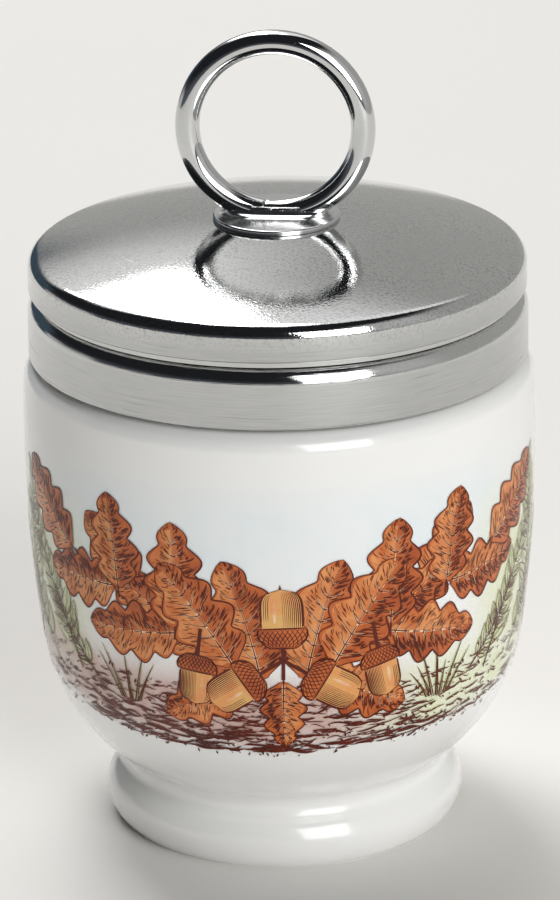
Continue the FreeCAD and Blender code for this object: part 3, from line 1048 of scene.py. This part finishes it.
class CODDLER_OT_boss(bpy.types.Operator):
    """Make the boss that holds the ring, with its shank, and dress the washer inside"""
    bl_idname = "coddler.boss"
    bl_label = "Boss and washer"

    def execute(self, context):
        lid = context.scene.coddler_lid
        finish = context.scene.coddler_finish
        radius = boss_high.x
        seat = cap_high.z
        top = seat + lid.boss_thickness
        bottom = boss_low.z
        washer_bottom = washer_low.z
        head = lid.shank_radius + 0.8 * MM
        wire = ring_high.y
        ring_radius = ring_high.x - wire
        ring_z = ring_high.z - ring_high.x
        outline = rounded([(0, bottom), (head, bottom, 0.3 * MM), (head, washer_bottom, 0),
                           (lid.shank_radius, washer_bottom, 0), (lid.shank_radius, seat, 0),
                           (radius, seat, 0.12 * MM), (radius, top, lid.boss_edge),
                           (radius - lid.boss_edge * 1.5, top)], 8)
        outline += straight(outline[-1], (0, top), 56)
        mesh = turned(outline, False)
        for vert in mesh.verts:
            if vert.co.z > top - 1e-7:
                away = ring_distance(vert.co, ring_z, ring_radius, wire)
                if away < lid.braze:
                    drawn_up = lid.braze - math.sqrt(lid.braze ** 2 - (lid.braze - max(0, away)) ** 2)
                    drawn_up *= 1 - smooth_step(-away, 0.1 * MM, 0.6 * MM)
                    from_axis = math.hypot(vert.co.x, vert.co.y)
                    edge = smooth_step(from_axis, radius - 1.3 * MM, radius - lid.boss_edge * 1.6)
                    vert.co.z += drawn_up * (1 - edge)
        metal = make_bright_metal("boss metal", finish.ring_metal, polish=0.15, grain=4200.0, peel=400.0,
                                  pitting=0.06, turning=0.05)
        make_piece(mesh, "boss", "lid", metal, ["ring_boss"])
        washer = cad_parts["boss_washer"]
        washer.data.materials.clear()
        metal = make_bright_metal("washer metal", finish.lid_metal, polish=0.25, grain=5200.0, peel=300.0,
                                  pitting=0.2, turning=0.3)
        washer.data.materials.append(metal)
        return {"FINISHED"}


class CODDLER_OT_ring(bpy.types.Operator):
    """Make the finger ring from round wire, with the seam where its ends meet"""
    bl_idname = "coddler.ring"
    bl_label = "Finger ring"

    def execute(self, context):
        lid = context.scene.coddler_lid
        finish = context.scene.coddler_finish
        wire = ring_high.y
        radius = ring_high.x - wire
        centre = Vector((0, 0, ring_high.z - ring_high.x))
        seam_angle = math.radians(-90) + lid.seam_offset / radius
        steps = 300
        mesh = bmesh.new()
        start = Matrix.Translation(centre) @ Matrix.Rotation(seam_angle, 4, Vector((0, -1, 0)))
        place = start @ Matrix.Translation((radius, 0, 0))
        section = bmesh.ops.create_circle(mesh, segments=40, radius=wire, matrix=place)["verts"]
        bmesh.ops.spin(mesh, geom=section + mesh.edges[:], cent=centre, axis=(0, 1, 0), angle=2 * math.pi,
                       steps=steps, use_merge=True)
        bmesh.ops.recalc_face_normals(mesh, faces=mesh.faces)
        seam_width = 0.75 * 2 * math.pi * radius / steps
        for vert in mesh.verts:
            angle = math.atan2(vert.co.z - centre.z, vert.co.x)
            off = abs(math.remainder(angle - seam_angle, 2 * math.pi)) * radius
            if off < seam_width:
                middle = centre + Vector((math.cos(angle), 0, math.sin(angle))) * radius
                vert.co = middle + (vert.co - middle) * (1 - lid.seam_depth / wire)
        metal = make_bright_metal("ring metal", finish.ring_metal, polish=0.045, grain=5200.0, peel=500.0,
                                  pitting=0.05, turning=0.0)
        make_piece(mesh, "wire_ring", "lid", metal, ["finger_ring"])
        return {"FINISHED"}


class CODDLER_OT_seal(bpy.types.Operator):
    """Make the rubber sealing ring that lies on the rim"""
    bl_idname = "coddler.seal"
    bl_label = "Sealing ring"

    def execute(self, context):
        cup = context.scene.coddler_cup
        inner = cup.belly_radius - cup.neck_inset - cup.neck_wall
        outer = seal_high.x
        low = seal_low.z
        high = seal_high.z
        edge = 0.3 * MM
        middle = (low + high) / 2
        outline = rounded([(inner, middle), (inner, low, edge), (outer, low, edge), (outer, high, edge),
                           (inner, high, edge), (inner, middle)], 5)[:-1]
        make_piece(turned(outline, True), "rubber_seal", "seal", make_rubber(), ["sealing_ring"])
        return {"FINISHED"}


def add_softbox(name, azimuth, elevation, wide, high, strength):
    """An area light far off, by its direction and its size in degrees; azimuth 0 is behind, 90 the right."""
    distance = 2.5
    light = bpy.data.lights.new(name, "AREA")
    light.shape = "RECTANGLE"
    light.size = 2 * distance * math.tan(math.radians(wide / 2))
    light.size_y = 2 * distance * math.tan(math.radians(high / 2))
    light.energy = strength * math.pi * light.size * light.size_y
    lamp = add_object(name, light)
    turn = math.radians(azimuth)
    rise = math.radians(elevation)
    way = Vector((math.sin(turn) * math.cos(rise), math.cos(turn) * math.cos(rise), math.sin(rise)))
    lamp.location = Vector((0, 0, cup_high.z)) + way * distance
    lamp.rotation_euler = way.to_track_quat("Z", "Y").to_euler()
    lamp.visible_camera = False


def add_wall(tree, azimuth, elevation, left, right, low, high, soft):
    """How much of a wall of the room lies in a direction, with soft edges; all in degrees."""
    edges = []
    for value, start, end in ((azimuth, left - soft, left + soft), (azimuth, right + soft, right - soft),
                              (elevation, low - soft, low + soft), (elevation, high + soft, high - soft)):
        edges.append(ramp(tree, value, math.radians(start), math.radians(end), shape="SMOOTHSTEP"))
    sides = calculate(tree, "MULTIPLY", edges[0], edges[1])
    ends = calculate(tree, "MULTIPLY", edges[2], edges[3])
    return calculate(tree, "MULTIPLY", sides, ends)


def make_room():
    """The world: darkness in front, soft walls of light on the other sides, and pale to the camera."""
    stage = bpy.context.scene.coddler_stage
    world = bpy.data.worlds.new("room")
    bpy.context.scene.world = world
    world.use_nodes = True
    tree = world.node_tree
    way = add_node(tree, "ShaderNodeTexCoord").outputs["Generated"]
    parts = add_node(tree, "ShaderNodeSeparateXYZ", {0: way}).outputs
    azimuth = calculate(tree, "ARCTAN2", parts["X"], parts["Y"])
    elevation = calculate(tree, "ARCSINE", parts["Z"])
    dark = (stage.dark * 0.9, stage.dark * 0.96, stage.dark * 1.1)
    dusk = tuple(value * 7 for value in dark)
    grey = (stage.room, stage.room * 0.99, stage.room * 0.96)
    light_grey = (stage.room * 2.5,) * 3
    white = (stage.board, stage.board, stage.board * 0.99)
    dull_white = tuple(value * 0.55 for value in white)
    dim_blue = (stage.dark * 3, stage.dark * 4.5, stage.dark * 6)
    horizon = (-200, 200, -60, 6, 12)
    behind = (-27, 128, -40, 50, 9)
    board = (-95, -52, -30, 4, 4)
    window = (96, 136, 2, 48, 10)
    ceiling = (-60, 40, 45, 95, 6)
    glow = (-42, -7, 24, 60, 9)
    gap = (-58, -18, -30, 19, 4)
    seen = dark
    # Left, right, low and high edge and softness of each wall, painted over the walls before it
    for wall, paint in ((horizon, dusk), (behind, grey), (board, dull_white), (window, dull_white),
                        (ceiling, light_grey), (glow, white), (gap, dim_blue)):
        seen = mix_colours(tree, add_wall(tree, azimuth, elevation, *wall), seen, paint)
    straight_on = add_node(tree, "ShaderNodeLightPath").outputs["Is Camera Ray"]
    background = tree.nodes["Background"]
    tree.links.new(mix_colours(tree, straight_on, seen, tuple(stage.floor)), background.inputs["Color"])


def make_floor():
    """A wide pale disc that fades out towards its edge."""
    stage = bpy.context.scene.coddler_stage
    mesh = bmesh.new()
    bmesh.ops.create_circle(mesh, cap_ends=True, segments=96, radius=1.5)
    floor = add_object("floor", finished_mesh(mesh, "floor"))
    material, tree, shader = new_material("pale floor")
    spot = add_node(tree, "ShaderNodeTexCoord").outputs["Object"]
    cloud = noise(tree, spot, 9.0)
    pale = tuple(stage.floor)
    clouded = mix_colours(tree, cloud, pale, tuple(value * 0.97 for value in pale))
    tree.links.new(clouded, shader.inputs["Base Color"])
    shader.inputs["Roughness"].default_value = 0.6
    shader.inputs["Specular IOR Level"].default_value = 0.2
    away = add_node(tree, "ShaderNodeVectorMath", {0: spot}, operation="LENGTH").outputs["Value"]
    tree.links.new(ramp(tree, away, 0.7, 1.2, 1.0, 0.0, "SMOOTHSTEP"), shader.inputs["Alpha"])
    floor.data.materials.append(material)


def add_camera():
    """The camera at the photograph's angle, aimed at the middle of the cup."""
    azimuth = math.radians(6)
    elevation = math.radians(20.36)
    roll = math.radians(-0.87)
    target = Vector((0, 0, 0.040))
    distance = 0.601
    pixels_per_metre = 8950
    picture_height = 900
    sensor = 36
    shift_right = 0.43 / picture_height
    shift_down = 19.97 / picture_height
    back = Vector((math.sin(azimuth) * math.cos(elevation), -math.cos(azimuth) * math.cos(elevation),
                   math.sin(elevation)))
    right = Vector((math.cos(azimuth), math.sin(azimuth), 0))
    up = back.cross(right)
    across = right * math.cos(roll) + up * math.sin(roll)
    above = up * math.cos(roll) - right * math.sin(roll)
    camera = bpy.data.cameras.new("camera")
    camera.sensor_width = sensor
    camera.lens = pixels_per_metre * distance / picture_height * sensor
    camera.shift_x = -shift_right
    camera.shift_y = shift_down
    camera.clip_start = 0.01
    holder = add_object("camera", camera)
    place = Matrix((across, above, back)).transposed().to_4x4()
    place.translation = target + back * distance
    holder.matrix_world = place
    bpy.context.scene.camera = holder


class CODDLER_OT_stage(bpy.types.Operator):
    """Make the pale floor, the softboxes, the room and the camera"""
    bl_idname = "coddler.stage"
    bl_label = "Stage"

    def execute(self, context):
        stage = context.scene.coddler_stage
        make_floor()
        make_room()
        add_softbox("key", -28, 58, 24, 46, stage.key)
        add_softbox("front", 148, 22, 30, 42, stage.front)
        add_camera()
        context.scene.view_settings.view_transform = "Standard"
        return {"FINISHED"}


class CODDLER_PT_panel(bpy.types.Panel):
    """Lists the coddler's pieces and their sizes"""
    bl_label = "Egg Coddler"
    bl_idname = "CODDLER_PT_panel"
    bl_space_type = "VIEW_3D"
    bl_region_type = "UI"
    bl_category = "Coddler"

    def draw(self, context):
        for operator in OPERATORS:
            self.layout.operator(operator.bl_idname)
        for group, kind in GROUPS.items():
            for name in kind.__annotations__:
                self.layout.prop(getattr(context.scene, group), name)


OPERATORS = (
    CODDLER_OT_cup,
    CODDLER_OT_print,
    CODDLER_OT_seal,
    CODDLER_OT_collar,
    CODDLER_OT_cap,
    CODDLER_OT_boss,
    CODDLER_OT_ring,
    CODDLER_OT_stage,
)

GROUPS = {
    "coddler_cup": CODDLER_PG_cup,
    "coddler_lid": CODDLER_PG_lid,
    "coddler_finish": CODDLER_PG_finish,
    "coddler_stage": CODDLER_PG_stage,
}


def register():
    for kind in (*GROUPS.values(), *OPERATORS, CODDLER_PT_panel):
        bpy.utils.register_class(kind)
    for name, kind in GROUPS.items():
        setattr(bpy.types.Scene, name, PointerProperty(type=kind))


def unregister():
    for name in GROUPS:
        delattr(bpy.types.Scene, name)
    for kind in reversed((*GROUPS.values(), *OPERATORS, CODDLER_PT_panel)):
        bpy.utils.unregister_class(kind)


def main():
    register()
    make_pitting_group()
    make_turning_group()
    make_print_group()
    bpy.ops.coddler.cup()
    bpy.ops.coddler.print()
    bpy.ops.coddler.seal()
    bpy.ops.coddler.collar()
    bpy.ops.coddler.cap()
    bpy.ops.coddler.boss()
    bpy.ops.coddler.ring()
    bpy.ops.coddler.stage()


if __name__ == "__main__":
    main()
